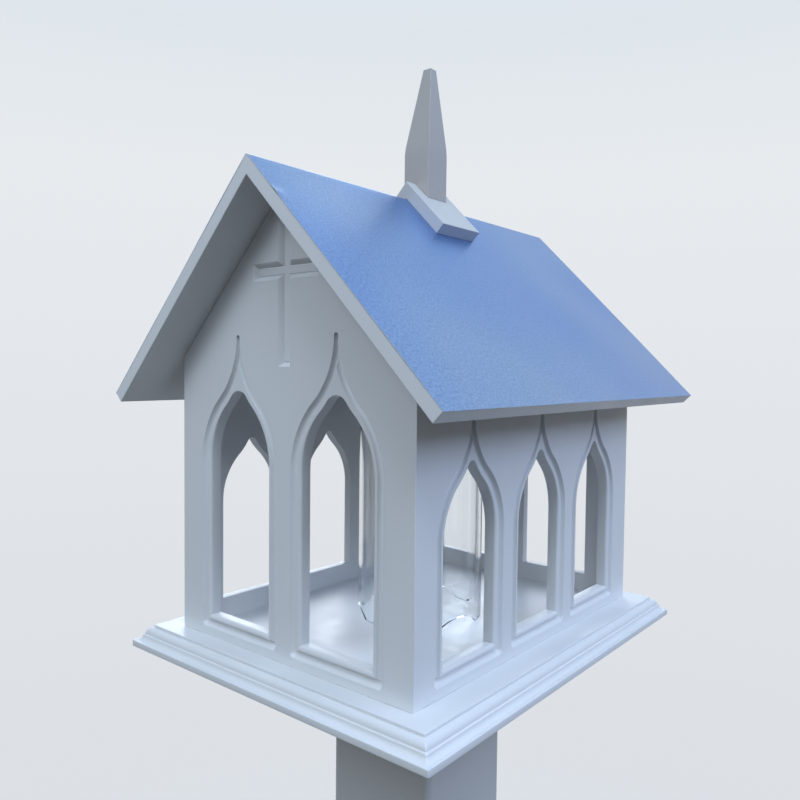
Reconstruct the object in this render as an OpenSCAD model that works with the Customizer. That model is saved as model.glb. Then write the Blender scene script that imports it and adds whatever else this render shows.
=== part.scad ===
// Chapel bird feeder on a post: white sheet-plastic walls with ogee windows,
// a moulded base, a steep metal-clad roof, a steeple and a clear seed tube.
// Millimetres. The ground is z = 0, the front gable faces -Y, the ridge runs along Y.

/* [Post] */
// Width of the square post
post_w = 134; // [90:1:160]
// Height of the post from the ground to the underside of the base
post_h = 1150; // [300:10:1800]
// Radius of the post's upright edges
post_corner_r = 7; // [2:0.5:15]

/* [Base] */
// How far the base's flat top reaches past the side walls
base_side_reach = 26; // [10:1:60]
// How far the base's flat top reaches past the gable walls
base_gable_reach = 19; // [10:1:60]
// Height of the plain step at the top of the moulded edge
step_h = 2.8; // [1:0.1:6]
// Width of the narrow shelf between the step and the quarter round
shelf_w = 0.3; // [0.2:0.1:3]
// Radius of the quarter round
round_r = 6.3; // [3:0.1:10]
// Width of the ledge between the quarter round and the cove
ledge_w = 1.6; // [0.5:0.1:4]
// Height of the ledge between the quarter round and the cove
ledge_h = 0.6; // [0.2:0.1:3]
// Radius of the cove
cove_r = 5.5; // [3:0.1:10]
// Width of the flat toe in front of the cove
toe_w = 2; // [0.5:0.1:6]
// Height of the lip at the bottom of the base
lip_h = 6.4; // [3:0.1:15]

/* [Walls] */
// Width of the body across the gable
body_w = 305; // [260:1:400]
// Length of the body along the ridge
body_l = 405; // [380:1:520]
// Height of a side wall's outer face, up to the roof
wall_h = 280.5; // [270:0.5:340]
// Thickness of the walls
wall_t = 12.7; // [8:0.1:20]

/* [Gable windows] */
// Distance between the middles of the two windows
gable_window_pitch = 130; // [116:1:150]
// Width of a window, between the middles of its grooves
gable_window_w = 102; // [80:1:108]
// Height of the groove under the window, above the floor
gable_window_sill = 13.5; // [8:0.5:30]
// Height at which the arch springs
gable_window_spring = 178; // [150:1:200]
// Height of the arch's tip
gable_window_tip = 298; // [270:1:310]
// Radius of the rounded top of the opening
gable_window_top_r = 12; // [4:0.5:16]

/* [Side windows] */
// Distance between the middles of neighbouring windows
side_window_pitch = 119.5; // [108:0.5:124]
// How far the row of windows sits behind the middle of the wall
side_window_shift = -4; // [-10:0.5:10]
// Width of a window, between the middles of its grooves
side_window_w = 94; // [70:1:98]
// Height of the groove under the window, above the floor
side_window_sill = 14.5; // [8:0.5:30]
// Height at which the arch springs
side_window_spring = 128; // [110:1:145]
// Height of the arch's tip
side_window_tip = 234; // [215:1:245]
// Radius of the rounded top of the opening
side_window_top_r = 6; // [3:0.5:10]

/* [Window edges] */
// Width of the groove round each window
groove_w = 7.6; // [3:0.1:9]
// Depth of the groove
groove_depth = 3.2; // [2.5:0.1:5]
// Width of the flat strip between the groove and the opening
strip_w = 4.3; // [2:0.1:8]
// How far the strip lies behind the wall's face
strip_drop = 1.2; // [0.5:0.1:2.2]

/* [Cross] */
// Height of the cross's lower end above the floor
cross_bottom = 271; // [255:1:290]
// Height of the cross's upper end above the floor
cross_top = 402; // [385:1:410]
// Height of the middle of the arms
cross_arm_z = 357.5; // [330:0.5:370]
// Length of the arms from end to end
cross_arm_l = 86; // [50:1:95]
// Width of the bars at the wall's face
cross_bar_w = 16; // [10:0.5:24]
// Depth of the cross
cross_depth = 3.5; // [1:0.1:6]

/* [Roof] */
// Slope of the roof
roof_pitch = 45; // [40:0.5:50]
// Thickness of the roof boards
roof_board_t = 11.9; // [8:0.1:20]
// Thickness of the metal sheet on the boards
roof_sheet_t = 0.8; // [0.5:0.1:2]
// How far the eaves reach past the side walls, level
eave_reach = 47.5; // [20:0.5:70]
// How far the roof reaches past the front gable
front_overhang = 43; // [10:1:80]
// How far the roof reaches past the back gable
back_overhang = 53; // [10:1:80]

/* [Steeple] */
// How far the steeple sits behind the middle of the body
steeple_y = 2; // [-60:1:60]
// Length of the saddle along the ridge
saddle_l = 66.5; // [45:0.5:100]
// How far a saddle board reaches down the slope below the ridge of the walls
saddle_drop = 45; // [35:0.5:90]
// Thickness of the saddle boards
saddle_t = 13; // [8:0.1:20]
// Width of the steeple's square shaft
shaft_w = 33; // [20:1:44]
// Height above the saddle's ridge at which the front and the back start to taper
shaft_front_h = 33; // [10:1:60]
// Height above the saddle's ridge at which the left and the right side start to taper
shaft_side_h = 41; // [10:1:60]
// Height of the steeple above the saddle's ridge
steeple_h = 126; // [90:1:200]
// Width of the flat top of the spire
spire_top_w = 10; // [4:0.5:18]
// How far the hand-cut top sits to the right of the shaft's middle
spire_right = 2.5; // [-4:0.5:4]
// How far the hand-cut top sits behind the shaft's middle
spire_behind = 2; // [-4:0.5:4]

/* [Seed tube] */
// Outer diameter of the tube
tube_d = 137; // [90:1:150]
// Thickness of the tube's wall
tube_wall = 3; // [2:0.5:6]
// Height of the tube above the floor
tube_h = 345; // [200:1:350]
// Number of arches round the tube's foot
tube_arches = 6; // [4:2:8]
// Width of an arch at the floor
tube_arch_w = 51; // [20:1:52]
// Height of an arch
tube_arch_h = 10.5; // [5:0.5:20]
// Turn of the arches about the tube's axis
tube_arch_turn = 48; // [0:1:60]

/* [Hidden] */
$fn = 64;
floor_z = post_h + step_h + round_r + ledge_h + cove_r + lip_h;
moulding_reach = shelf_w + round_r + ledge_w + cove_r + toe_w;
ridge_z = wall_h + body_w / 2 * tan(roof_pitch);
eave_x = body_w / 2 + eave_reach;
roof_front_y = -body_l / 2 - front_overhang;
roof_l = body_l + front_overhang + back_overhang;
roof_t = roof_board_t + roof_sheet_t;
saddle_ridge_z = ridge_z + (roof_t + saddle_t) / cos(roof_pitch);
opening_inset = groove_w / 2 + strip_w;
// The recess of the strip ends inside the groove
recess_inset = groove_w / 4;
// The row of side windows keeps clear of the ends of its wall
side_window_room = (body_l - side_window_w) / 2 - 2 * wall_t - abs(side_window_shift);
side_pitch = min(side_window_pitch, side_window_room);
// Cutters reach this far past the faces that they cut
past = 1;
// Arcs that run on into each other overlap by this much
arc_lap = 0.05;
// How much wider than the groove its round end is, where the cutter went in
tip_swell = 0.3;
white = "white";

// Radius of the four equal arcs of an ogee arch, given its half width and its rise
function ogee_r(half, rise) = (half * half + rise * rise) / (4 * half);

// An upright rectangle about x = 0, between two heights
module upright(half, low, high) {
    translate([-half, low])
        square([2 * half, high - low]);
}

// An ogee window standing on y = sill, drawn inset (or, below zero, outset) from its line:
// a straight lower part, two arcs that bulge out and two that sweep up to the tip
module ogee(w, sill, spring, tip, inset) {
    half = w / 2;
    r = ogee_r(half, tip - spring);
    // The arcs change over on the line between their centres
    low_centre = [half - r, spring];
    high_centre = [r, tip];
    change = low_centre + (r - inset) * (high_centre - low_centre) / (2 * r);
    difference() {
        union() {
            upright(half - inset, sill + inset, spring);
            intersection() {
                translate(low_centre)
                    circle(r - inset + arc_lap);
                mirror([1, 0])
                    translate(low_centre)
                        circle(r - inset + arc_lap);
                upright(w, sill + w, tip);
            }
            upright(change[0], change[1], tip);
        }
        for (side = [0, 1])
            mirror([side, 0])
                translate(high_centre)
                    circle(r + inset);
    }
}

// The clear opening of an ogee window, with its top rounded
module ogee_opening(w, sill, spring, tip, top_r) {
    r = ogee_r(w / 2, tip - spring);
    reach = r + opening_inset;
    round_z = tip - sqrt(pow(reach + top_r, 2) - r * r);
    touch_z = round_z + (tip - round_z) * top_r / (reach + top_r);
    intersection() {
        ogee(w, sill, spring, tip, opening_inset);
        upright(w, sill, touch_z);
    }
    translate([0, round_z])
        circle(top_r + arc_lap);
}

// What is cut from a wall for one window, with the wall's face at z = 0 and the room below
module window_cut(w, sill, spring, tip, top_r) {
    translate([0, 0, -wall_t - past])
        linear_extrude(wall_t + 2 * past)
            ogee_opening(w, sill, spring, tip, top_r);
    translate([0, 0, -strip_drop])
        linear_extrude(strip_drop + past)
            ogee(w, sill, spring, tip, recess_inset);
    translate([0, 0, -groove_depth])
        linear_extrude(groove_depth + past)
            difference() {
                union() {
                    ogee(w, sill, spring, tip, -groove_w / 2);
                    translate([0, tip])
                        circle(groove_w / 2 + tip_swell);
                }
                ogee(w, sill, spring, tip, groove_w / 2);
            }
}

// A shallow bar with sloped sides and ends, cut into a face at z = 0
module sloped_bar(w, l) {
    half = w / 2;
    low_half = half - cross_depth;
    rotate([90, 0, 0])
        linear_extrude(l, center = true)
            polygon([[-half, 0], [half, 0], [low_half, -cross_depth], [-low_half, -cross_depth]]);
}

module cross_bar(w, l) {
    intersection() {
        sloped_bar(w, l + 2 * past);
        rotate([0, 0, 90])
            sloped_bar(l, w + 2 * past);
    }
}

module cross_cut() {
    translate([0, (cross_bottom + cross_top) / 2])
        cross_bar(cross_bar_w, cross_top - cross_bottom);
    translate([0, cross_arm_z])
        cross_bar(cross_arm_l, cross_bar_w);
}

// A gable wall lying face up, with its foot along y = 0
module gable_board() {
    half = body_w / 2;
    difference() {
        translate([0, 0, -wall_t])
            linear_extrude(wall_t)
                polygon([[-half, 0], [half, 0], [half, wall_h], [0, ridge_z], [-half, wall_h]]);
        for (side = [-1, 1])
            translate([side * gable_window_pitch / 2, 0])
                window_cut(
                    gable_window_w, gable_window_sill,
                    gable_window_spring, gable_window_tip, gable_window_top_r
                );
        cross_cut();
    }
}

// A side wall lying face up between the gable walls, its top bevelled to the roof
module side_board() {
    bevel = wall_t * tan(roof_pitch);
    difference() {
        rotate([90, 0, 90])
            linear_extrude(body_l - 2 * wall_t, center = true)
                polygon([[0, 0], [0, -wall_t], [wall_h + bevel, -wall_t], [wall_h, 0]]);
        for (place = [-1, 0, 1])
            translate([place * side_pitch + side_window_shift, 0])
                window_cut(
                    side_window_w, side_window_sill,
                    side_window_spring, side_window_tip, side_window_top_r
                );
    }
}

module post() {
    core = post_w - 2 * post_corner_r;
    color(white)
        linear_extrude(post_h)
            union() {
                square([core, post_w], center = true);
                square([post_w, core], center = true);
                for (sx = [-1, 1], sy = [-1, 1])
                    translate([sx * core / 2, sy * core / 2])
                        circle(post_corner_r);
            }
}

// The base's outline seen along one side: lip, toe, cove, ledge, quarter round and step
module base_outline(half) {
    cove_z = lip_h + cove_r;
    round_z = cove_z + ledge_h;
    round_x = half + shelf_w;
    cove_x = round_x + round_r + ledge_w;
    upright(cove_x + cove_r + toe_w, 0, lip_h);
    difference() {
        upright(cove_x + cove_r, lip_h, cove_z);
        for (side = [-1, 1])
            translate([side * (cove_x + cove_r), cove_z])
                circle(cove_r);
    }
    upright(cove_x, cove_z, round_z);
    upright(round_x, round_z, round_z + round_r);
    intersection() {
        upright(cove_x, round_z, round_z + round_r);
        for (side = [-1, 1])
            translate([side * round_x, round_z])
                circle(round_r);
    }
    upright(half, round_z + round_r, round_z + round_r + step_h);
}

module base() {
    half_x = body_w / 2 + base_side_reach;
    half_y = body_l / 2 + base_gable_reach;
    color(white)
        translate([0, 0, post_h])
            intersection() {
                rotate([90, 0, 0])
                    linear_extrude(2 * (half_y + moulding_reach), center = true)
                        base_outline(half_x);
                rotate([90, 0, 90])
                    linear_extrude(2 * (half_x + moulding_reach), center = true)
                        base_outline(half_y);
            }
}

module front_wall() {
    color(white)
        translate([0, -body_l / 2, floor_z])
            rotate([90, 0, 0])
                gable_board();
}

module back_wall() {
    color(white)
        translate([0, body_l / 2, floor_z])
            rotate([90, 0, 180])
                gable_board();
}

module right_wall() {
    color(white)
        translate([body_w / 2, 0, floor_z])
            rotate([90, 0, 90])
                side_board();
}

module left_wall() {
    color(white)
        mirror([1, 0, 0])
            translate([body_w / 2, 0, floor_z])
                rotate([90, 0, 90])
                    side_board();
}

// A point of the right-hand slope seen along the ridge, lifted square off the walls' slope
function on_slope(x, lift) = [
    x + lift * sin(roof_pitch),
    ridge_z - x * tan(roof_pitch) + lift * cos(roof_pitch)
];

// The point over the ridge at the same lift
function over_ridge(lift) = [0, ridge_z + lift / cos(roof_pitch)];

// The same point on the left-hand slope
function to_left(point) = [-point[0], point[1]];

// A board on the right-hand slope, from the ridge down, seen along the ridge
module slope_outline(lift, thick, foot_x) {
    top = lift + thick;
    polygon([over_ridge(lift), over_ridge(top), on_slope(foot_x, top), on_slope(foot_x, lift)]);
}

module along_ridge(front_y, length) {
    translate([0, front_y + length, floor_z])
        rotate([90, 0, 0])
            linear_extrude(length)
                children();
}

module right_roof_board() {
    color(white)
        along_ridge(roof_front_y, roof_l)
            slope_outline(0, roof_board_t, eave_x);
}

module left_roof_board() {
    color(white)
        mirror([1, 0, 0])
            along_ridge(roof_front_y, roof_l)
                slope_outline(0, roof_board_t, eave_x);
}

// One sheet of metal folded over the ridge
module roof_sheet() {
    right_top = on_slope(eave_x, roof_t);
    right_low = on_slope(eave_x, roof_board_t);
    color("lightsteelblue")
        along_ridge(roof_front_y, roof_l)
            polygon([
                over_ridge(roof_t), right_top, right_low,
                over_ridge(roof_board_t), to_left(right_low), to_left(right_top)
            ]);
}

module saddle_outline() {
    slope_outline(roof_t, saddle_t, saddle_drop * cos(roof_pitch));
}

module right_saddle_board() {
    color(white)
        along_ridge(steeple_y - saddle_l / 2, saddle_l)
            saddle_outline();
}

module left_saddle_board() {
    color(white)
        mirror([1, 0, 0])
            along_ridge(steeple_y - saddle_l / 2, saddle_l)
                saddle_outline();
}

// The steeple above its foot, seen square on: straight up to taper_z, then in to a shifted top
function steeple_rise(taper_z, shift) = [
    [shaft_w / 2, saddle_ridge_z + taper_z],
    [shift + spire_top_w / 2, saddle_ridge_z + steeple_h],
    [shift - spire_top_w / 2, saddle_ridge_z + steeple_h],
    [-shaft_w / 2, saddle_ridge_z + taper_z]
];

// One piece: its front outline, notched over the saddle, crossed with its side outline
module steeple() {
    half = shaft_w / 2;
    foot_z = saddle_ridge_z - half * tan(roof_pitch);
    notched_foot = [[-half, foot_z], [0, saddle_ridge_z], [half, foot_z]];
    plain_foot = [[-half, foot_z], [half, foot_z]];
    color(white)
        translate([0, steeple_y, floor_z])
            intersection() {
                rotate([90, 0, 0])
                    linear_extrude(shaft_w, center = true)
                        polygon(concat(steeple_rise(shaft_side_h, spire_right), notched_foot));
                rotate([90, 0, 90])
                    linear_extrude(shaft_w, center = true)
                        polygon(concat(steeple_rise(shaft_front_h, spire_behind), plain_foot));
            }
}

module seed_tube() {
    arch_r = (pow(tube_arch_w / 2, 2) + tube_arch_h * tube_arch_h) / (2 * tube_arch_h);
    color("lightcyan", 0.3)
        translate([0, 0, floor_z])
            difference() {
                cylinder(h = tube_h, d = tube_d);
                translate([0, 0, -past])
                    cylinder(h = tube_h + 2 * past, d = tube_d - 2 * tube_wall);
                for (turn = [0 : tube_arches / 2 - 1])
                    rotate([0, 0, tube_arch_turn + turn * 360 / tube_arches])
                        translate([0, 0, tube_arch_h - arch_r])
                            rotate([0, 90, 0])
                                cylinder(h = tube_d + 2 * past, r = arch_r, center = true);
            }
}

post();
base();
front_wall();
back_wall();
left_wall();
right_wall();
left_roof_board();
right_roof_board();
roof_sheet();
left_saddle_board();
right_saddle_board();
steeple();
seed_tube();
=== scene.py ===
# %% [markdown]
# # A chapel bird feeder on a post
# The feeder is a small chapel cut from white sheet plastic: two gable walls, two side walls with
# ogee windows, a moulded base, a folded metal roof with a steeple, and a clear tube for the seed.
# The construction model gives the sizes. This lesson loads it, and then gives every piece the shape
# and the finish that show from close by.

# %% Load the construction model
import math
from collections import namedtuple

import bmesh
import bpy
import numpy as np
from mathutils import Matrix
from mathutils.geometry import tessellate_polygon


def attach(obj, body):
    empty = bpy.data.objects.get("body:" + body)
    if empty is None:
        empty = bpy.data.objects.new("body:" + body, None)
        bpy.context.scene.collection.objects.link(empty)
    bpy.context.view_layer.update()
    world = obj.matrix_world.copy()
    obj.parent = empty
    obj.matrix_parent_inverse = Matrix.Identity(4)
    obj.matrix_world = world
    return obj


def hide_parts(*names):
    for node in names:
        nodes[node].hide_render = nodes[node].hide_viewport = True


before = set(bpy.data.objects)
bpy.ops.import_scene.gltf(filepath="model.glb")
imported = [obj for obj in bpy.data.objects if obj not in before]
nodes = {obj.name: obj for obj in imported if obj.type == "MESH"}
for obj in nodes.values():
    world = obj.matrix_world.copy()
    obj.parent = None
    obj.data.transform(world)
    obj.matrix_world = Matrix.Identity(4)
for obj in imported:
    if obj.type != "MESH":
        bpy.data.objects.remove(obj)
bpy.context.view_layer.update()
print("nodes:", sorted(nodes))

# %% [markdown]
# ## The camera
# The photograph was taken from close by, to the right of the front gable and a little above the
# windows' tips, with the camera held almost upright. Its place, its turn and its lens were worked out
# from the straight edges of walls, base and roof, so the camera is written down as those numbers.
# A matrix built from three directions is safer here than Euler angles: right, up and backwards
# are its columns, and the small roll is a turn of right and up about the line of sight.

# %% Camera
camera_place = np.array([0.5060, -0.6524, 1.4431])
yaw, pitch, roll = np.radians([39.4687, -2.5009, 0.6296])
focal_px, image_px, sensor_mm = 744.805, 800, 36

sight = np.array([-math.sin(yaw) * math.cos(pitch), math.cos(yaw) * math.cos(pitch), math.sin(pitch)])
level_right = np.array([math.cos(yaw), math.sin(yaw), 0])
level_up = np.cross(level_right, sight)
camera_right = level_right * math.cos(roll) + level_up * math.sin(roll)
camera_up = level_up * math.cos(roll) - level_right * math.sin(roll)

camera_matrix = np.eye(4)
camera_matrix[:3, :] = np.column_stack([camera_right, camera_up, -sight, camera_place])
camera_data = bpy.data.cameras.new("camera")
camera_data.sensor_width = sensor_mm
camera_data.lens = focal_px / image_px * sensor_mm
camera = bpy.data.objects.new("camera", camera_data)
camera.matrix_world = Matrix(camera_matrix)
bpy.context.scene.collection.objects.link(camera)
bpy.context.scene.camera = camera
print("lens:", round(camera_data.lens, 2), "mm")

# %% [markdown]
# ## Nodes for the finishes
# Every finish is a small tree of nodes that reads the object's own coordinates in metres, so a
# pattern keeps its real size and stays on the piece from any side. Two helpers keep the trees
# readable: one adds a node and sets or links its inputs by name, the other starts a material.

# %% Node helpers
def add_node(tree, kind, options=None, **inputs):
    """Adds one node; options are its settings, inputs are numbers, colours or other sockets."""
    made = tree.nodes.new(kind)
    for key, value in (options or {}).items():
        setattr(made, key, value)
    for key, value in inputs.items():
        socket = made.inputs[key.replace("_", " ")]
        if isinstance(value, bpy.types.NodeSocket):
            tree.links.new(value, socket)
        else:
            socket.default_value = value
    return made


def start_material(name):
    """An empty material with a Principled shader; returns the material, its tree and the shader."""
    material = bpy.data.materials.new(name)
    material.use_nodes = True
    tree = material.node_tree
    tree.nodes.clear()
    shader = add_node(tree, "ShaderNodeBsdfPrincipled")
    output = add_node(tree, "ShaderNodeOutputMaterial")
    tree.links.new(shader.outputs["BSDF"], output.inputs["Surface"])
    return material, tree, shader


def noise(tree, place, scale, detail=3.0):
    """Smooth noise on object coordinates, from 0 to 1; scale is waves a metre."""
    made = add_node(tree, "ShaderNodeTexNoise", Vector=place, Scale=scale, Detail=detail)
    return made.outputs["Fac"]


def ramp(tree, value, stops):
    """A colour ramp: stops is a list of (position, colour)."""
    made = add_node(tree, "ShaderNodeValToRGB", Fac=value)
    points = made.color_ramp.elements
    while len(points) < len(stops):
        points.new(0.5)
    for point, (position, colour) in zip(points, stops):
        point.position = position
        point.color = (*colour, 1)
    return made.outputs["Color"]


def spread(tree, value, low, high):
    """Maps 0.3 to 0.7 of a noise onto low to high, because noise seldom leaves that band."""
    made = add_node(tree, "ShaderNodeMapRange", Value=value, To_Min=low, To_Max=high)
    made.inputs["From Min"].default_value = 0.3
    made.inputs["From Max"].default_value = 0.7
    return made.outputs["Result"]


print("helpers ready")

# %% [markdown]
# ## White sheet plastic
# Walls, base, roof boards and steeple are cut from foamed plastic sheet. It is a clean white with a
# satin skin: soft, wide highlights, a faint unevenness of colour over a hand's breadth, and a fine
# orange-peel skin that only shows where light grazes it. The saddle's boards and the steeple are a
# little rougher; the boards are greyer and the steeple greyer still, and that grey is painted shade on
# the same white sheet. The post sleeve's grey tint is painted shade as well. Three noises of different
# size give the colour, the roughness and the bump.

# %% White sheet
def white_sheet(name, tint=(0.74, 0.75, 0.765), gloss=0.42):
    """Satin white: colour from broad noise, roughness from middle noise, bump from fine noise."""
    material, tree, shader = start_material(name)
    place = add_node(tree, "ShaderNodeTexCoord").outputs["Object"]
    broad, middle, fine = noise(tree, place, 7), noise(tree, place, 60), noise(tree, place, 1400, 2)
    tint = np.array(tint)
    shader.inputs["Specular IOR Level"].default_value = 0.45
    tree.links.new(ramp(tree, broad, [(0.3, tint * 0.965), (0.7, tint)]), shader.inputs["Base Color"])
    tree.links.new(spread(tree, middle, gloss - 0.05, gloss + 0.06), shader.inputs["Roughness"])
    bump = add_node(tree, "ShaderNodeBump", Strength=0.05, Distance=0.0004, Height=fine)
    tree.links.new(bump.outputs["Normal"], shader.inputs["Normal"])
    return material


white_board = white_sheet("satin_white_sheet")
# The saddle's and the steeple's greyer tints are painted shade on the same white sheet.
saddle_painted_shade = white_sheet("saddle_board_painted_shade", tint=(0.54, 0.535, 0.53), gloss=0.52)
steeple_painted_shade = white_sheet("steeple_painted_shade_grey", tint=(0.45, 0.425, 0.405), gloss=0.52)
# The post sleeve's grey tint is painted shade on a white sleeve.
post_painted_shade = white_sheet("post_sleeve_painted_shade", tint=(0.58, 0.585, 0.59), gloss=0.33)
print("finishes:", white_board.name, saddle_painted_shade.name, steeple_painted_shade.name, post_painted_shade.name)

# %% [markdown]
# ## The metal of the roof
# The roof is one thin sheet of metal with a pebbled skin. It mirrors its surroundings softly, so its blue
# pales where it faces a bright part of them; a metallic shader with a tint does that by itself. The blue
# tint is partly the metal's own colour and partly a painted reflection of a blue sky, and its broad
# clouds, lighter and darker patches over the roof, are painted reflection too. The pebbles are a bump,
# and they also vary the tint a little.

# %% Roof metal
def pebbled_metal(name):
    """Satin metal: tint and roughness follow a fine pebble noise; broad clouds of painted reflection lie over
    the tint.
    """
    material, tree, shader = start_material(name)
    place = add_node(tree, "ShaderNodeTexCoord").outputs["Object"]
    painted_reflection_clouds, pebbles = noise(tree, place, 4, 1), noise(tree, place, 480, 1)
    # Painted reflection: the blue tint stands partly for a blue sky, and the clouds for lighter and darker
    # reflections.
    painted_reflection_tint = ramp(tree, painted_reflection_clouds, [(0.3, (0.21, 0.35, 0.66)), (0.7, (0.32, 0.44, 0.65))])
    pebble_tint = ramp(tree, pebbles, [(0.3, (0.64, 0.69, 0.78)), (0.7, (1.0, 1.0, 1.0))])
    tint = add_node(tree, "ShaderNodeMix", {"data_type": "RGBA", "blend_type": "MULTIPLY"})
    tint.inputs["Factor"].default_value = 1
    tree.links.new(painted_reflection_tint, tint.inputs["A"])
    tree.links.new(pebble_tint, tint.inputs["B"])
    tree.links.new(tint.outputs["Result"], shader.inputs["Base Color"])
    shader.inputs["Metallic"].default_value = 0.85
    tree.links.new(spread(tree, pebbles, 0.30, 0.42), shader.inputs["Roughness"])
    bump = add_node(tree, "ShaderNodeBump", Strength=0.35, Distance=0.0006, Height=pebbles)
    tree.links.new(bump.outputs["Normal"], shader.inputs["Normal"])
    return material


roof_metal = pebbled_metal("pebbled_roof_metal")
cut_metal = white_sheet("cut_metal_edge", tint=(0.55, 0.57, 0.60), gloss=0.4)
print("finishes:", roof_metal.name, cut_metal.name)

# %% [markdown]
# ## The clear tube
# The seed tube is clear plastic pipe. Light goes through it with hardly a tint, and what shows is
# its edges and the long streaks along its sides. The solid has a real wall, so a shader that
# refracts gives the dark edges for nothing; a faint film of handling makes the roughness uneven.

# %% Clear plastic
def clear_plastic(name):
    """Clear tube: full transmission, with a faint uneven film in the roughness."""
    material, tree, shader = start_material(name)
    place = add_node(tree, "ShaderNodeTexCoord").outputs["Object"]
    film = noise(tree, place, 25)
    tint = ramp(tree, film, [(0.3, (0.93, 0.95, 0.96)), (0.7, (0.97, 0.98, 0.985))])
    tree.links.new(tint, shader.inputs["Base Color"])
    tree.links.new(spread(tree, film, 0.02, 0.06), shader.inputs["Roughness"])
    shader.inputs["Transmission Weight"].default_value = 1
    shader.inputs["IOR"].default_value = 1.47
    shadow = add_node(tree, "ShaderNodeLightPath").outputs["Is Shadow Ray"]
    through = add_node(tree, "ShaderNodeBsdfTransparent", Color=(0.93, 0.95, 0.96, 1))
    choice = add_node(tree, "ShaderNodeMixShader", Fac=shadow)
    tree.links.new(shader.outputs["BSDF"], choice.inputs[1])
    tree.links.new(through.outputs["BSDF"], choice.inputs[2])
    tree.links.new(choice.outputs["Shader"], tree.nodes["Material Output"].inputs["Surface"])
    return material


clear_tube = clear_plastic("clear_tube_plastic")
finish_of = {"post": post_painted_shade, "roof_sheet": roof_metal, "seed_tube": clear_tube}
for name, node in nodes.items():
    node.data.materials.clear()
    node.data.materials.append(finish_of.get(name, white_board))
print("finished nodes:", len(nodes))

# %% [markdown]
# ## Pieces from points
# The construction solids have razor-sharp edges, and the grooves round the windows are plain slots.
# On the real feeder every edge is eased and the cutter left soft curves, and that is what catches
# the light. So each board is made again here, a little richer, and stands for its solid. One helper
# turns rings of points into a closed skin; another puts a finished mesh in place of its solids. Boolean
# cuts would also do, but they leave ragged edges, while rings keep every curve smooth.

# %% Piece helpers
mm = 0.001


def ring_faces(rings, count, start=0):
    """Quads between neighbouring rings: ring i holds points i * count onwards, and each ring is closed."""
    ring, place = np.meshgrid(np.arange(rings - 1), np.arange(count), indexing="ij")
    here = start + ring * count + place
    beside = start + ring * count + (place + 1) % count
    return np.stack([here, beside, beside + count, here + count], -1).reshape(-1, 4).tolist()


def put_piece(name, points, faces, finish, stands_for, smooth_below=35):
    """Merges doubles, turns faces outwards, shades smooth below an angle, and rides in place of its solids."""
    mesh = bpy.data.meshes.new(name)
    mesh.from_pydata(np.asarray(points).reshape(-1, 3).tolist(), [], faces)
    skin = bmesh.new()
    skin.from_mesh(mesh)
    bmesh.ops.remove_doubles(skin, verts=skin.verts, dist=2e-6)
    bmesh.ops.recalc_face_normals(skin, faces=skin.faces)
    open_edges = sum(not edge.is_manifold for edge in skin.edges)
    skin.to_mesh(mesh)
    skin.free()
    mesh.shade_smooth()
    mesh.set_sharp_from_angle(angle=math.radians(smooth_below))
    mesh.materials.append(finish)
    piece = bpy.data.objects.new(name, mesh)
    bpy.context.scene.collection.objects.link(piece)
    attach(piece, "root")
    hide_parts(*stands_for)
    print(name, "faces:", len(mesh.polygons), "open edges:", open_edges)
    return piece


def flat_faces(piece, axis):
    """Shades the faces that lie square to an axis flat, so that eased edges beside them stay crisp."""
    polygons = piece.data.polygons
    normals = np.zeros(len(polygons) * 3)
    polygons.foreach_get("normal", normals)
    polygons.foreach_set("use_smooth", np.abs(normals.reshape(-1, 3)[:, axis]) < 0.99999)
    return piece


print("piece helpers ready")

# %% [markdown]
# ## The line of an ogee window
# Each window is a tall opening whose head is an ogee: two arcs bulge out from the jambs and two
# sweep the other way up to a tip. All four arcs have one radius, r = (half² + rise²) / 4 half, so
# they meet without a kink. The cutter followed lines at different distances from that curve, so one
# function draws any of them: an inset moves the jambs in, shrinks the lower arcs and widens the
# upper ones. Every line has the same number of points in the same order, which lets neighbouring
# lines join into a skin. The opening's own lines end in a round top instead of a point. A point just
# beside each lower corner keeps the mitre crisp: smooth shading is spread over a whole face, and
# without that point it would bend the look of a whole sill.

# %% Ogee lines
Window = namedtuple("Window", "half sill spring tip top_r")
gable_window = Window(51, 13.5, 178, 298, 14)
side_window = Window(47, 14.5, 128, 234, 6)
opening_inset = 8.1
arc_points, neck_points, cap_points, corner_points = 22, 12, 9, 7
mitre_hold = 1.0


def around(centre, radius, angles):
    """Points on a circle: centre plus radius times (cos, sin) of each angle."""
    return np.column_stack([centre[0] + radius * np.cos(angles), centre[1] + radius * np.sin(angles)])


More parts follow.
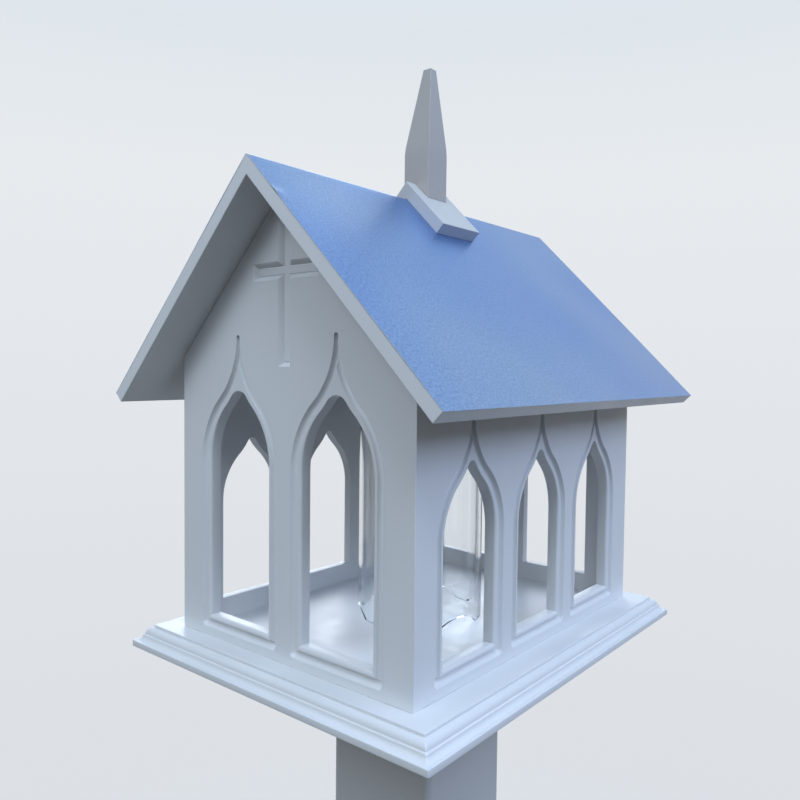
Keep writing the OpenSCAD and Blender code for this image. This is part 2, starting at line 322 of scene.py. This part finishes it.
def ogee_line(window, inset, round_top=False):
    """A closed line at an inset from the window's curve: sill, jamb, two arcs and top, then mirrored."""
    half, sill, spring, tip, top_r = window
    r = (half ** 2 + (tip - spring) ** 2) / (4 * half)
    change = math.atan2(tip - spring, 2 * r - half)
    top_centre = tip - math.sqrt((r + opening_inset + top_r) ** 2 - r ** 2)
    neck = math.atan2(tip - top_centre, r)
    inner = max(inset, 0)
    corner = around((half - inner, sill + inner), max(-inset, 0), np.linspace(-np.pi / 2, 0, corner_points))
    beside = [half - inner - mitre_hold, sill + inset]
    above = [half - inset, sill + inner + mitre_hold]
    jamb = np.concatenate([[[0, sill + inset], beside], corner, [above]])
    lower = around((half - r, spring), r - inset, np.linspace(0, change, arc_points))
    upper = around((r, tip), r + inset, np.pi + np.linspace(change, neck, arc_points)[1:])
    if round_top:
        turns = np.linspace(neck, np.pi / 2, neck_points + cap_points - 1)
        top = around((0, top_centre), top_r + opening_inset - inset, turns)[1:]
    else:
        end = math.acos(r / (r + inset)) if inset > 0 else 0
        sweep = around((r, tip), r + inset, np.pi + np.linspace(neck, end, neck_points))[1:]
        tip_height = sweep[-1, 1]
        cap = around((0, tip_height), max(-inset, 0), np.linspace(0, np.pi / 2, cap_points))[1:]
        top = np.concatenate([sweep, cap])
    right = np.concatenate([jamb, lower, upper, top])
    right[-1, 0] = 0
    return np.concatenate([right, right[-2:0:-1] * [-1, 1]])


print("points in a line:", len(ogee_line(gable_window, 0)))

# %% [markdown]
# ## The routed edge of a window
# Seen close up, the wall's face turns over a small eased edge into a groove with steep sides and a
# round bottom. The groove narrows towards the tip, where the cutter went in and left a small pit. Its
# inner side ends in a crisp arris. From there a strip, a little behind the face, tilts and rolls over
# into the opening; towards the top of the window it stays flat and its edge is crisp. The section is a
# list of insets and depths in millimetres: each pair becomes one line, and the lines together are the
# skin. What narrows with height is a blend of two such skins, one broad and one narrow.

# %% Routed edge
wall_t = 12.7
groove_section = np.array([
    (-5.0, 0.0), (-4.8, 0.05), (-4.6, 0.20), (-4.4, 0.50), (-4.1, 1.10), (-3.6, 2.00),
    (-3.0, 2.90), (-2.3, 3.70), (-1.4, 4.30), (-0.4, 4.65), (0.7, 4.70), (1.6, 4.45),
    (2.3, 3.90), (2.8, 3.10), (3.2, 2.30), (3.5, 1.55), (3.7, 0.90)])
strip_drop, arris_ease, reveal_ease = 0.9, 0.12, 0.4
pit_depth, pit_reach, pit_above, pit_start = 3.0, 2.4, 0.6, 1.2
broad_roll, tight_roll = (4.9, 2.6), (7.8, 0.3)
tip_share, roll_share = 0.5, 0.5


def rolled_edge(start, fall):
    """A quarter of an ellipse from the strip into the opening, fall deep, and then the straight reveal."""
    turns = np.linspace(0, np.pi / 2, 9)
    roll = np.column_stack([
        start + (opening_inset - start) * np.sin(turns), strip_drop + fall * (1 - np.cos(turns))])
    ease = reveal_ease * np.array([[0, 1], [0.3, 0.3], [1, 0]])
    return np.concatenate([roll, [opening_inset, wall_t] - ease])


def section_lines(window, section, round_top):
    """One line of (u, v, depth) for each pair of the section."""
    flat = np.stack([ogee_line(window, inset, round_top) for inset in section[:, 0]])
    depth = np.repeat(section[:, 1:], flat.shape[1], axis=1)
    return np.concatenate([flat, depth[:, :, None]], -1)


def routed_edge(window):
    """Rings from face to back; groove and roll narrow with height, and a bell-shaped pit deepens the tip."""
    section = np.concatenate([groove_section, [[groove_section[-1, 0] + arris_ease, strip_drop]]])
    narrow = section * np.where(section[:, :1] < 0, [tip_share, 1], 1)
    low, high = (section_lines(window, each, False) for each in (section, narrow))
    rise = np.clip((low[..., 1:2] - window.spring) / (window.tip - window.spring), 0, 1)
    grooved = low + (high - low) * rise ** 2 * (3 - 2 * rise)
    away = np.hypot(grooved[..., 0], grooved[..., 1] - window.tip - pit_above)
    cut = np.clip(grooved[..., 2] / pit_start, 0, 1)
    grooved[..., 2] += pit_depth * cut * np.exp(-(away / pit_reach) ** 2)
    broad, tight = (section_lines(window, rolled_edge(*roll), True) for roll in (broad_roll, tight_roll))
    near_top = np.clip((broad[..., 1:2] - window.spring) / (roll_share * (window.tip - window.spring)), 0, 1)
    return np.concatenate([grooved, broad + (tight - broad) * near_top])


print("rings in an edge:", len(routed_edge(gable_window)))

# %% [markdown]
# ## Walls
# A wall is a flat board with an eased rim, two or three windows, and on a gable a sunk cross with
# sloped sides. Its skin has three kinds of parts: rings for the rim, the windows and the cross, and
# two flat faces with holes between them. The flat faces are filled by Blender's own polygon filler,
# which takes an outline and its holes. Each wall is drawn lying down, as u, v and depth behind its
# face, and then stood up with one line that says where u, v and depth go.

# %% Wall builder
floor_z, body_w, body_l, wall_h = 1171.6, 305, 405, 280.5
ridge_z = wall_h + body_w / 2
rim_ease = 0.8


def inset_corners(corners, inset):
    """Moves a polygon's sides inwards: a corner with normals n1, n2 goes inset (n1 + n2) / (1 + n1·n2)."""
    sides = np.roll(corners, -1, 0) - corners
    normals = np.column_stack([-sides[:, 1], sides[:, 0]]) / np.linalg.norm(sides, axis=1)[:, None]
    before = np.roll(normals, 1, 0)
    return corners + inset * (normals + before) / (1 + np.sum(normals * before, 1))[:, None]


def at_depth(line, depth):
    """A flat line with one depth at all its points."""
    return np.column_stack([line, np.full(len(line), float(depth))])


def rim_rings(outline):
    """Rings round the board: a quarter round at the face, and then straight to the back."""
    turns = np.linspace(0, np.pi / 2, 5)
    eased_rim = rim_ease * np.column_stack([1 - np.sin(turns), 1 - np.cos(turns)])
    steps = np.concatenate([eased_rim, [[0, wall_t]]])
    return np.stack([at_depth(outline(inset, depth), depth) for inset, depth in steps])


def fill_flat(rings):
    """Triangles between an outline and its holes, as indices into the rings laid end to end."""
    return np.array(tessellate_polygon([ring[:, :2].tolist() for ring in rings]))


def board_skin(outline, windows, pockets):
    """Points (u, v, depth) and faces of a board with windows, given as (middle, window), and sunk pockets."""
    edges = [routed_edge(window) + [middle, 0, 0] for middle, window in windows]
    groups = [rim_rings(outline)] + edges + pockets
    points, faces, fronts, backs = [], [], [], []
    start = 0
    for group in groups:
        rings, count = group.shape[:2]
        faces += ring_faces(rings, count, start)
        fronts.append(np.arange(start, start + count))
        backs.append(np.arange(start + (rings - 1) * count, start + rings * count))
        points.append(group.reshape(-1, 3))
        start += rings * count
    points = np.concatenate(points)
    through = 1 + len(windows)
    for flat in (fronts, backs[:through]):
        faces += np.concatenate(flat)[fill_flat([points[ring] for ring in flat])].tolist()
    faces += [ring.tolist() for ring in backs[through:]]
    return points, faces


print("wall builder ready")

# %% [markdown]
# ## Gable walls
# The cross is a pocket with a flat bottom. Its sides slope at 45 degrees, which is why its upper
# sides lie in shade and its lower ones catch light from above; at their foot the cutter's tip left a
# thin line. Its twelve corners, moved inwards as the pocket gets deeper, give the rings. The gables'
# slopes stop a hair below the roof boards, because that joint shows as a fine dark line.

# %% Gable walls
def cross_pocket(bottom=271, top=402, arm_z=357.5, arm_l=86, bar=16, depth=3.5):
    """Rings of the twelve-cornered cross: each goes inwards as far as it goes down, with eased upper edges."""
    h, a = bar / 2, arm_l / 2
    corners = np.array([
        [-h, bottom], [h, bottom], [h, arm_z - h], [a, arm_z - h], [a, arm_z + h], [h, arm_z + h],
        [h, top], [-h, top], [-h, arm_z + h], [-a, arm_z + h], [-a, arm_z - h], [-h, arm_z - h]])
    upper_edge, cut_line = [(-0.2, 0), (0.05, 0.15)], [(depth + 0.35, depth + 0.9), (depth + 1.5, depth)]
    steps = upper_edge + [(depth, depth + 0.1)] + cut_line
    return np.stack([at_depth(inset_corners(corners, inset), down) for inset, down in steps])


roof_joint, gable_pitch = 0.5, 130
gable_corners = np.array([
    [-body_w / 2, 0], [body_w / 2, 0], [body_w / 2, wall_h - roof_joint], [0, ridge_z - roof_joint],
    [-body_w / 2, wall_h - roof_joint]])
gable_points, gable_faces = board_skin(
    lambda inset, depth: inset_corners(gable_corners, inset),
    [(side * gable_pitch / 2, gable_window) for side in (-1, 1)], [cross_pocket()])
u, v, depth = gable_points.T
front_points = np.column_stack([u, depth - body_l / 2, v + floor_z]) * mm
back_points = np.column_stack([-u, body_l / 2 - depth, v + floor_z]) * mm
for name, points in (("front_wall", front_points), ("back_wall", back_points)):
    flat_faces(put_piece("routed_" + name, points, gable_faces, white_board, [name]), 1)

# %% [markdown]
# ## Side walls
# A side wall stands between the gables, so its ends are hidden and stay square. Its top is bevelled to
# the roof: the outline may depend on the depth, and here the top rises by as much as the depth, which
# is a slope of 45 degrees. The left wall is the right one mirrored. A mirror turns a skin inside out,
# so it matters that the faces are turned outwards again when a piece is put in place.

# %% Side walls
side_half = body_l / 2 - wall_t
side_pitch, side_shift = 119.5, -4
side_middles = [side_shift + place * side_pitch for place in (-1, 0, 1)]


def side_outline(inset, depth):
    """A rectangle with eased foot and top; the top rises with depth, because it is bevelled to the roof."""
    low, high = inset, wall_h + depth - inset
    return np.array([[-side_half, low], [side_half, low], [side_half, high], [-side_half, high]])


side_points, side_faces = board_skin(side_outline, [(middle, side_window) for middle in side_middles], [])
u, v, depth = side_points.T
right_points = np.column_stack([body_w / 2 - depth, u, v + floor_z]) * mm
left_points = right_points * [-1, 1, 1]
for name, points in (("right_wall", right_points), ("left_wall", left_points)):
    flat_faces(put_piece("routed_" + name, points, side_faces, white_board, [name]), 0)

# %% [markdown]
# ## The moulded base
# The base is a thick board with a moulding run round its edge: a small step, a quarter round, a soft
# ledge, a cove and a lip. The moulding is a profile carried round a rectangle: each point of the
# profile has a reach past the flat top and a height, and gives one ring with four small round corners.
# A point just beside each corner keeps its shading from spreading along the whole side.

# %% Base
base_z, base_h = 1150, 21.6
top_half = np.array([178.5, 221.5])
shelf_w, round_r, toe_w, lip_h = 0.3, 6.3, 2.0, 6.4
ledge_w, ledge_h, ledge_round, cove_r = 1.6, 0.6, 1.0, 5.5
top_ease, toe_ease, foot_ease = 0.9, 0.9, 0.7


def eased(corner, before, after, ease, steps=4):
    """A rounded corner of a profile: a curve from ease before the corner to ease after it, bent towards it."""
    corner, before, after = (np.array(point, float) for point in (corner, before, after))
    a = corner + (before - corner) / np.linalg.norm(before - corner) * ease
    b = corner + (after - corner) / np.linalg.norm(after - corner) * ease
    t = np.linspace(0, 1, steps)[:, None]
    return (1 - t) ** 2 * a + 2 * t * (1 - t) * corner + t ** 2 * b


def base_profile():
    """Reach and height from the flat top down: eased step, quarter round, ledge, cove, toe and lip."""
    round_z = lip_h + cove_r + ledge_h
    cove_x = shelf_w + round_r + ledge_w
    toe_x = cove_x + cove_r + toe_w
    quarter = around((shelf_w, round_z), round_r, np.linspace(np.pi / 2, 0, 13))
    cove_start = np.pi + math.asin(ledge_round / cove_r)
    cove = around((cove_x + cove_r, lip_h + cove_r), cove_r, np.linspace(cove_start, 1.5 * np.pi, 13))
    bend = np.linspace(0, np.pi / 2, 9)[1:]
    soft_ledge = quarter[-1] + (cove[0] - quarter[-1]) * np.column_stack([np.sin(bend), 1 - np.cos(bend)])
    return np.concatenate([
        eased((0, base_h), (-1, base_h), (0, 0), top_ease),
        [[0, round_z + round_r]], quarter, soft_ledge, cove[1:],
        eased((toe_x, lip_h), (0, lip_h), (toe_x, 0), toe_ease),
        eased((toe_x, 0), (toe_x, lip_h), (0, 0), foot_ease)])


profile = base_profile()
corner_r, corner_steps, corner_hold = 1.0, 5, 1.5


def rounded_ring(half, height):
    """A level rectangle with quarter circles as corners, and a point just before and after each of them."""
    turns = np.arange(4)[:, None] * np.pi / 2 + np.linspace(np.pi, 1.5 * np.pi, corner_steps)
    arc = corner_r * np.stack([np.cos(turns), np.sin(turns)], -1)
    along = corner_hold * np.stack([-np.sin(turns), np.cos(turns)], -1)
    corner = np.concatenate([arc[:, :1] - along[:, :1], arc, arc[:, -1:] + along[:, -1:]], 1)
    middle = np.array([[-1, -1], [1, -1], [1, 1], [-1, 1]])[:, None, :] * (half - corner_r)
    return np.concatenate([middle + corner, np.full((4, corner_steps + 2, 1), height)], -1).reshape(-1, 3)


base_rings = np.stack([rounded_ring(top_half + reach, base_z + height) for reach, height in profile]) * mm
ring_size = 4 * (corner_steps + 2)
lids = np.arange(ring_size)
base_faces = ring_faces(len(profile), ring_size)
base_faces += [lids.tolist(), (ring_size * len(profile) - 1 - lids).tolist()]
flat_faces(put_piece("moulded_base", base_rings, base_faces, white_board, ["base"]), 2)

# %% [markdown]
# ## Roof boards and saddle
# The roof boards and the two little boards of the saddle are straight lengths with a mitred ridge.
# A board is an outline, seen along the ridge, carried from its front end to its back end. A Bevel
# modifier eases the edges, with a weight on each edge. The weight is 0 at the mitre, which stays tight,
# and under the metal, where an eased edge would show as a dark line along the roof's rake.

# %% Boards
slope = math.radians(45)
roof_board_t, roof_sheet_t, saddle_t = 11.9, 0.8, 13.0
roof_t = roof_board_t + roof_sheet_t
roof_front, roof_back, eave_x = -245.5, 255.5, 200
saddle_foot, saddle_half_l, steeple_y = 31.82, 33.25, 2
roof_ease, saddle_ease = 0.8, 0.7


def on_slope(x, lift):
    """A point of the right-hand slope, seen along the ridge, lifted square off the walls' slope."""
    return [x + lift * math.sin(slope), ridge_z - x * math.tan(slope) + lift * math.cos(slope)]


def sloped_board(name, side, lift, thick, foot_x, front, back, ease, finish, stands_for):
    """A four-cornered outline from the ridge down, carried along y; mitre and edges under metal stay crisp."""
    top = lift + thick
    outline = np.array([
        [0, ridge_z + lift / math.cos(slope)], on_slope(foot_x, lift),
        on_slope(foot_x, top), [0, ridge_z + top / math.cos(slope)]])
    x, z = side * outline[:, 0], outline[:, 1] + floor_z
    ends = np.stack([np.column_stack([x, np.full(4, y), z]) for y in (front, back)]) * mm
    faces = ring_faces(2, 4) + [[0, 1, 2, 3], [7, 6, 5, 4]]
    board = put_piece(name, ends, faces, finish, [stands_for])
    mesh = board.data
    pairs = np.zeros(len(mesh.edges) * 2, int)
    mesh.edges.foreach_get("vertices", pairs)
    corner = pairs.reshape(-1, 2) % 4
    at_mitre, on_top = np.isin(corner, (0, 3)).all(1), np.isin(corner, (2, 3)).all(1)
    crisp = at_mitre | (on_top & (lift == 0))
    weight = mesh.attributes.new("bevel_weight_edge", "FLOAT", "EDGE")
    weight.data.foreach_set("value", (~crisp).astype(np.float32))
    bevel = board.modifiers.new("eased_edges", "BEVEL")
    bevel.limit_method, bevel.width, bevel.segments, bevel.harden_normals = "WEIGHT", ease * mm, 3, True
    return board


for side, word in ((1, "right"), (-1, "left")):
    sloped_board(
        word + "_roof", side, 0, roof_board_t, eave_x, roof_front, roof_back, roof_ease,
        white_board, word + "_roof_board")
    sloped_board(
        word + "_saddle", side, roof_t, saddle_t, saddle_foot, steeple_y - saddle_half_l,
        steeple_y + saddle_half_l, saddle_ease, saddle_painted_shade, word + "_saddle_board")

# %% [markdown]
# ## The steeple
# The steeple is one square stick, notched to sit over the saddle and sawn to a hand-cut point: the
# front and back start to taper lower than the two sides, and the flat top sits a little off the
# middle. It is built from rings at four heights, each a rectangle with a point in the middle of its
# front and back, so that the foot can fold over the ridge.

# %% Steeple
saddle_ridge = ridge_z + (roof_t + saddle_t) / math.cos(slope)
shaft_half, steeple_ease = 16.5, 0.6
front_taper, side_taper, steeple_h = 33, 41, 126
top_half_w, top_right, top_behind = 5, 2.5, 2


def steeple_ring(height):
    """A rectangle of six points; past its taper each side moves in a straight line towards the top."""
    share_x = np.clip((height - side_taper) / (steeple_h - side_taper), 0, 1)
    share_y = np.clip((height - front_taper) / (steeple_h - front_taper), 0, 1)
    half_x = shaft_half + (top_half_w - shaft_half) * share_x
    half_y = shaft_half + (top_half_w - shaft_half) * share_y
    x = top_right * share_x + half_x * np.array([-1, 0, 1, 1, 0, -1])
    y = steeple_y + top_behind * share_y + half_y * np.array([-1, -1, -1, 1, 1, 1])
    drop = shaft_half * math.tan(slope) * np.array([1, 0, 1, 1, 0, 1]) * (height == 0)
    return np.column_stack([x, y, floor_z + saddle_ridge + height - drop])


steeple_rings = np.stack([steeple_ring(height) for height in (0, front_taper, side_taper, steeple_h)]) * mm
steeple_faces = ring_faces(4, 6) + [[0, 1, 4, 5], [1, 2, 3, 4], [18, 19, 20, 21, 22, 23]]
steeple = put_piece("sawn_steeple", steeple_rings, steeple_faces, steeple_painted_shade, ["steeple"])
steeple_bevel = steeple.modifiers.new("eased_edges", "BEVEL")
steeple_bevel.width, steeple_bevel.segments, steeple_bevel.harden_normals = steeple_ease * mm, 3, True
steeple_bevel.limit_method, steeple_bevel.angle_limit = "ANGLE", math.radians(25)

# %% [markdown]
# ## The metal roof sheet
# One sheet of thin metal is folded over the ridge and lies on both boards. Thin metal is never quite
# flat: it has a soft bend at the ridge, faint waves that make its reflections swim, and a spot on
# the front edge where it has lifted. The sheet is a function of two parameters, the way down the
# slope and the way along the ridge; the same grid, moved in by the metal's thickness, is its back.

# %% Roof sheet
ridge_bend, ridge_crowd = 1.2, 5
eave_reach = eave_x / math.cos(slope) + roof_t
sheet_gap, eave_fade = 0.18, 30
spot_lift, spot_down, spot_w, spot_l, spot_rows = 1.1, 53, 6, 9, 30


def sheet_lift(down, y):
    """How far the sheet stands off its boards: two faint waves that fade at the eaves, and a lifted spot."""
    fade = np.clip((eave_reach - np.abs(down)) / eave_fade, 0, 1)
    waves = 0.10 * np.sin(down / 41 + y / 63) + 0.08 * np.sin(down / 23 - y / 87 + 1.3)
    lifted = spot_lift * np.exp(-((down - spot_down) / spot_w) ** 2 - ((y - roof_front) / spot_l) ** 2)
    return fade * (sheet_gap + waves) + lifted


def sheet_grid(offset):
    """Height falls by sqrt(down² + bend²) from the ridge, a soft fold; offset moves square off the sheet."""
    turn = np.linspace(-1, 1, 121)
    down_line = eave_reach * np.sinh(ridge_crowd * turn) / math.sinh(ridge_crowd)
    near_rows = np.linspace(roof_front, roof_front + spot_rows, 16)
    y_line = np.concatenate([near_rows, np.linspace(roof_front + spot_rows + 6, roof_back, 44)])
    down, y = np.meshgrid(down_line, y_line, indexing="ij")
    soft = np.sqrt(down ** 2 + ridge_bend ** 2)
    out_x, out_z = down / soft, np.ones_like(down)
    out = (offset + sheet_lift(down, y)) / np.hypot(out_x, out_z)
    top_z = floor_z + ridge_z + roof_t / math.cos(slope)
    x = down * math.cos(slope) + out * out_x
    z = top_z - soft * math.sin(slope) + out * out_z
    return np.stack([x, y, z], -1) * mm


upper, lower = sheet_grid(0), sheet_grid(-roof_sheet_t)
rows, cols = upper.shape[:2]
index = np.arange(rows * cols).reshape(rows, cols)
cells = np.stack([index[:-1, :-1], index[1:, :-1], index[1:, 1:], index[:-1, 1:]], -1).reshape(-1, 4)
border = np.concatenate([index[0, :-1], index[:-1, -1], index[-1, :0:-1], index[:0:-1, 0]])
after = np.roll(border, -1)
rim = np.column_stack([border, after, after + rows * cols, border + rows * cols])
sheet_faces = np.concatenate([cells, cells[:, ::-1] + rows * cols, rim]).tolist()
sheet_points = np.concatenate([upper, lower])
sheet = put_piece("folded_roof", sheet_points, sheet_faces, roof_metal, ["roof_sheet"])
sheet.data.materials.append(cut_metal)
cut_faces = np.zeros(len(sheet.data.polygons), np.int32)
cut_faces[-len(rim):] = 1
sheet.data.polygons.foreach_set("material_index", cut_faces)
print("sheet reach from ridge:", round(eave_reach, 1), "mm")

# %% [markdown]
# ## Floor
# The floor is a pale round patch that fades out, so that there is no horizon behind the object and it
# still keeps the shadow of the post. For light that bounces off it the floor is darker, because a pale
# floor would light the undersides and take the depth out of the eaves.

# %% Floor
floor_r, floor_level, fade_from, fade_to = 2.6, -0.0005, 0.5, 2.2


def floor_patch(radius, rings=24, spokes=96):
    """A flat disc: points at radius u and angle v, for u from 0 to radius and v round a full turn."""
    around_turn = np.linspace(0, 2 * np.pi, spokes, endpoint=False)
    u, v = np.meshgrid(np.linspace(0.001, radius, rings), around_turn, indexing="ij")
    points = np.stack([u * np.cos(v), u * np.sin(v), np.full_like(u, floor_level)], -1).reshape(-1, 3)
    mesh = bpy.data.meshes.new("floor")
    mesh.from_pydata(points.tolist(), [], ring_faces(rings, spokes) + [list(range(spokes))])
    return bpy.data.objects.new("floor", mesh)


floor = floor_patch(floor_r)
floor_material, floor_tree, floor_shader = start_material("floor")
floor_path = add_node(floor_tree, "ShaderNodeLightPath")
floor_colour = add_node(floor_tree, "ShaderNodeMix", {"data_type": "RGBA"})
floor_tree.links.new(floor_path.outputs["Is Diffuse Ray"], floor_colour.inputs["Factor"])
floor_colour.inputs["A"].default_value = (0.70, 0.66, 0.60, 1)
floor_colour.inputs["B"].default_value = (0.155, 0.145, 0.12, 1)
floor_tree.links.new(floor_colour.outputs["Result"], floor_shader.inputs["Base Color"])
floor_shader.inputs["Roughness"].default_value = 0.9
floor_place = add_node(floor_tree, "ShaderNodeTexCoord").outputs["Object"]
distance = add_node(floor_tree, "ShaderNodeVectorMath", {"operation": "LENGTH"}, Vector=floor_place)
fade = add_node(
    floor_tree, "ShaderNodeMapRange", {"interpolation_type": "SMOOTHSTEP"},
    Value=distance.outputs["Value"], From_Min=fade_from, From_Max=fade_to)
clear = add_node(floor_tree, "ShaderNodeBsdfTransparent")
blend = add_node(floor_tree, "ShaderNodeMixShader", Fac=fade.outputs["Result"])
floor_tree.links.new(floor_shader.outputs["BSDF"], blend.inputs[1])
floor_tree.links.new(clear.outputs["BSDF"], blend.inputs[2])
floor_tree.links.new(blend.outputs["Shader"], floor_tree.nodes["Material Output"].inputs["Surface"])
floor.data.materials.append(floor_material)
bpy.context.scene.collection.objects.link(floor)
print("floor radius:", floor_r, "m")

# %% [markdown]
# ## Surroundings
# The light is that of open shade: a weak bluish dome that is dark below, so that undersides and the
# hollows of the cuts stay darker than the faces. For the camera, in reflections and through the tube
# the surroundings are a pale backdrop instead, which adds no light to the object.

# %% Surroundings
scene = bpy.context.scene
scene.view_settings.view_transform = "Standard"
world = bpy.data.worlds.new("surroundings")
world.use_nodes = True
scene.world = world
world_tree = world.node_tree
world_tree.nodes.clear()
direction = add_node(world_tree, "ShaderNodeTexCoord").outputs["Generated"]
height = add_node(world_tree, "ShaderNodeSeparateXYZ", Vector=direction).outputs["Z"]
level = add_node(world_tree, "ShaderNodeMapRange", Value=height, From_Min=-1, From_Max=1).outputs["Result"]
open_shade = ramp(world_tree, level, [
    (0.0, (0.01, 0.01, 0.01)), (0.50, (0.015, 0.015, 0.015)), (0.58, (0.12, 0.13, 0.13)),
    (0.75, (0.58, 0.65, 0.74)), (0.86, (0.62, 0.75, 0.93)), (1.0, (0.40, 0.53, 0.72))])
pale_backdrop = ramp(world_tree, level, [
    (0.30, (0.72, 0.75, 0.79)), (0.62, (0.80, 0.83, 0.86)), (0.70, (0.74, 0.79, 0.83)),
    (0.82, (0.64, 0.82, 1.0))])
light_path = add_node(world_tree, "ShaderNodeLightPath")
mirrored = add_node(world_tree, "ShaderNodeMath", {"operation": "MAXIMUM"})
world_tree.links.new(light_path.outputs["Is Glossy Ray"], mirrored.inputs[0])
world_tree.links.new(light_path.outputs["Is Transmission Ray"], mirrored.inputs[1])
seen = add_node(world_tree, "ShaderNodeMath", {"operation": "MAXIMUM"})
world_tree.links.new(light_path.outputs["Is Camera Ray"], seen.inputs[0])
world_tree.links.new(mirrored.outputs["Value"], seen.inputs[1])
shade = add_node(world_tree, "ShaderNodeBackground", Color=open_shade, Strength=0.85)
backdrop = add_node(world_tree, "ShaderNodeBackground", Color=pale_backdrop, Strength=1.0)
choice = add_node(world_tree, "ShaderNodeMixShader", Fac=seen.outputs["Value"])
world_tree.links.new(shade.outputs["Background"], choice.inputs[1])
world_tree.links.new(backdrop.outputs["Background"], choice.inputs[2])
world_output = add_node(world_tree, "ShaderNodeOutputWorld")
world_tree.links.new(choice.outputs["Shader"], world_output.inputs["Surface"])
print("world:", world.name)

# %% [markdown]
# ## Lamps
# Four wide lamps light the feeder. One faces the front, one the right-hand side and is a little bluer,
# a high one stands between them and draws the bright lines in the grooves, and one behind lights the
# far sides. Even light from all round would be simpler, but the grooves would look flat in it.

# %% Lamps
lamp_target = (0, 0, 1.35)


def soft_lamp(name, place, size, watts, colour):
    """A square area lamp at place that faces the feeder: its back axis points away from the target."""
    data = bpy.data.lights.new(name, "AREA")
    data.size, data.energy, data.color = size, watts, colour
    lamp = bpy.data.objects.new(name, data)
    back = np.array(place, float) - np.array(lamp_target)
    back = back / np.linalg.norm(back)
    side = np.cross([0, 0, 1], back)
    side = side / np.linalg.norm(side)
    turn = np.eye(4)
    turn[:3, :] = np.column_stack([side, np.cross(back, side), back, place])
    lamp.matrix_world = Matrix(turn)
    scene.collection.objects.link(lamp)
    return lamp


soft_lamp("front_lamp", (-0.16, -2.98, 3.36), 1.5, 38, (0.76, 0.88, 1.0))
soft_lamp("key_lamp", (1.77, -1.49, 4.11), 1.5, 46, (0.70, 0.84, 1.0))
soft_lamp("right_lamp", (3.04, 0.54, 3.20), 1.6, 58, (0.52, 0.67, 1.0))
soft_lamp("back_lamp", (-2.56, 2.56, 2.81), 2.4, 84, (0.86, 0.92, 1.0))
